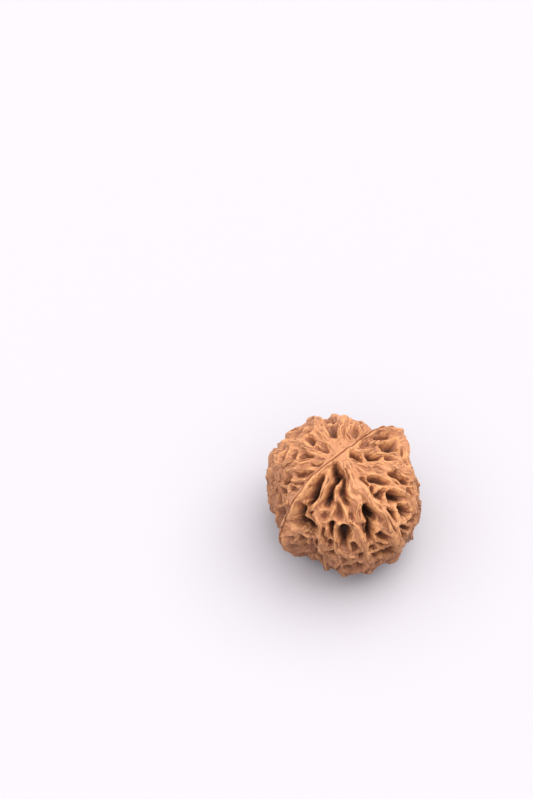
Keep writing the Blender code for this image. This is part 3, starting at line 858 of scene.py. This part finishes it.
# Painted shade in the deepest hollows, nearly black
pit_shade_share = between(add(on_points("depth"), times(uneven, pit_mottle)), pit_span)
colour = mix_colours(pit_shade_share, colour, pit_painted_shade)
dark_strands = between(strands, dark_strand_span, whole, none)
colour = mix_colours(times(dark_strands, dark_strand_share), colour, strand_brown)
# Golden lines along the strands on the crests: partly the grain's own colour, partly painted highlight
bright_strands = times(between(strands, bright_strand_span), crest_share)
colour = mix_colours(times(bright_strands, bright_strand_share), colour, strand_gold_and_highlight)
colour = mix_colours(times(cracks, crack_share), colour, crack_brown)
colour = mix_colours(between(on_points("line"), seam_line_span), colour, seam_brown)
# Painted shade: the lower part of the shell is darkened towards the foot
low_share = between(times(height_on_shell, 1 / low_end_height), low_span, whole, none)
colour = mix_colours(low_share, colour, low_shade, "MULTIPLY")
links.new(colour, surface.inputs["Base Color"])

# Satin on the ribs and duller in the hollows, with the strands, pores and cracks felt as well as seen
least_roughness = 0.42
mottle_roughness = 0.2
hollow_roughness = 0.25
felt_height = 0.0004
felt_pores = 0.3
felt_cracks = 0.5
roughness = add(times(mottle, mottle_roughness), least_roughness)
roughness = work_out("ADD", roughness, times(hollow, hollow_roughness), clamp=True)
links.new(roughness, surface.inputs["Roughness"])
surface.inputs["IOR"].default_value = 1.45
surface.inputs["Specular IOR Level"].default_value = 0.4
bump = nodes.new("ShaderNodeBump")
bump.inputs["Strength"].default_value = 1.0
bump.inputs["Distance"].default_value = felt_height
felt = less(add(strands, times(pores, felt_pores)), times(cracks, felt_cracks))
links.new(felt, bump.inputs["Height"])
links.new(bump.outputs["Normal"], surface.inputs["Normal"])
shell_mesh.materials.append(shell_finish)

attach(walnut_shell, "root")
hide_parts("walnut")

# The table top
# A plain, pale sheet with a hint of lilac, lit until it is nearly white. It is far wider than the view, and
# the nut stands on it.
sheet_half_width = 3.0
sheet_lilac = (0.397, 0.383, 0.407, 1)
sheet_shape = bmesh.new()
bmesh.ops.create_grid(sheet_shape, x_segments=2, y_segments=2, size=sheet_half_width)
sheet_mesh = bpy.data.meshes.new("white_sheet")
sheet_shape.to_mesh(sheet_mesh)
sheet_shape.free()
white_sheet = bpy.data.objects.new("white_sheet", sheet_mesh)
bpy.context.scene.collection.objects.link(white_sheet)
sheet_finish = bpy.data.materials.new("white_sheet")
sheet_finish.use_nodes = True
sheet_surface = sheet_finish.node_tree.nodes["Principled BSDF"]
sheet_surface.inputs["Base Color"].default_value = sheet_lilac
sheet_surface.inputs["Roughness"].default_value = 0.9
sheet_mesh.materials.append(sheet_finish)

# The camera
# It looks down on the nut with a long lens, from the side of the near cheek and of one end of the seam, and
# the nut lies below and to the right of the middle of the picture. The image is 533 wide and 799 high.
image_width = 533
image_height = 799
nut_at = (343.06, 495.31)
camera_distance = 0.6006
camera_turn = math.radians(-42.4)
camera_rise = math.radians(55.46)
lens = bpy.data.cameras.new("camera")
lens.lens = 100.0
lens.sensor_width = 36.0
lens.clip_start = 0.05
lens.clip_end = 20.0
camera = bpy.data.objects.new("camera", lens)
bpy.context.scene.collection.objects.link(camera)
nut_middle = foot_middle + Vector((0, 0, foot_level * MILLIMETRE))
back = Vector((math.sin(camera_turn) * math.cos(camera_rise),
               -math.cos(camera_turn) * math.cos(camera_rise),
               math.sin(camera_rise)))
right = Vector((math.cos(camera_turn), math.sin(camera_turn), 0))
up = back.cross(right)
pixels_per_unit = lens.lens / lens.sensor_width * image_height
ray = Vector(((nut_at[0] - image_width / 2) / pixels_per_unit,
              (image_height / 2 - nut_at[1]) / pixels_per_unit, -1)).normalized()
swing = Vector((0, 0, -1)).rotation_difference(ray).to_matrix()
from_view = (swing @ Matrix((right, up, back))).transposed()
camera.matrix_world = Matrix.Translation(nut_middle + back * camera_distance) @ from_view.to_4x4()
bpy.context.scene.camera = camera
bpy.context.scene.view_settings.view_transform = "Standard"

# The light
# A bright white room and two wide, soft lamps, one high behind the nut and to its right in the picture, the
# other nearly overhead. They light the whole sheet evenly.
room = bpy.data.worlds.new("room")
bpy.context.scene.world = room
room.use_nodes = True
room_light = room.node_tree.nodes["Background"]
room_light.inputs["Color"].default_value = (1.0, 0.96, 1.0, 1)
room_light.inputs["Strength"].default_value = 0.97


def studio_lamp(name, energy, width, colour, right_up_back):
    """A lamp in a direction given to the right, up and back as the camera sees it, so many degrees wide."""
    light = bpy.data.lights.new(name, "SUN")
    light.energy = energy
    light.angle = math.radians(width)
    light.color = colour
    lamp = bpy.data.objects.new(name, light)
    bpy.context.scene.collection.objects.link(lamp)
    way = (from_view @ Vector(right_up_back)).normalized()
    lamp.location = nut_middle + way
    lamp.rotation_euler = way.to_track_quat("Z", "Y").to_euler()


studio_lamp("soft_lamp", energy=2.1, width=56, colour=(0.99, 1.0, 0.96), right_up_back=(0.38, 0.75, 0.54))
studio_lamp("wide_lamp", energy=2.85, width=120, colour=(1.0, 1.0, 1.0), right_up_back=(-0.05, 0.5, 0.8))
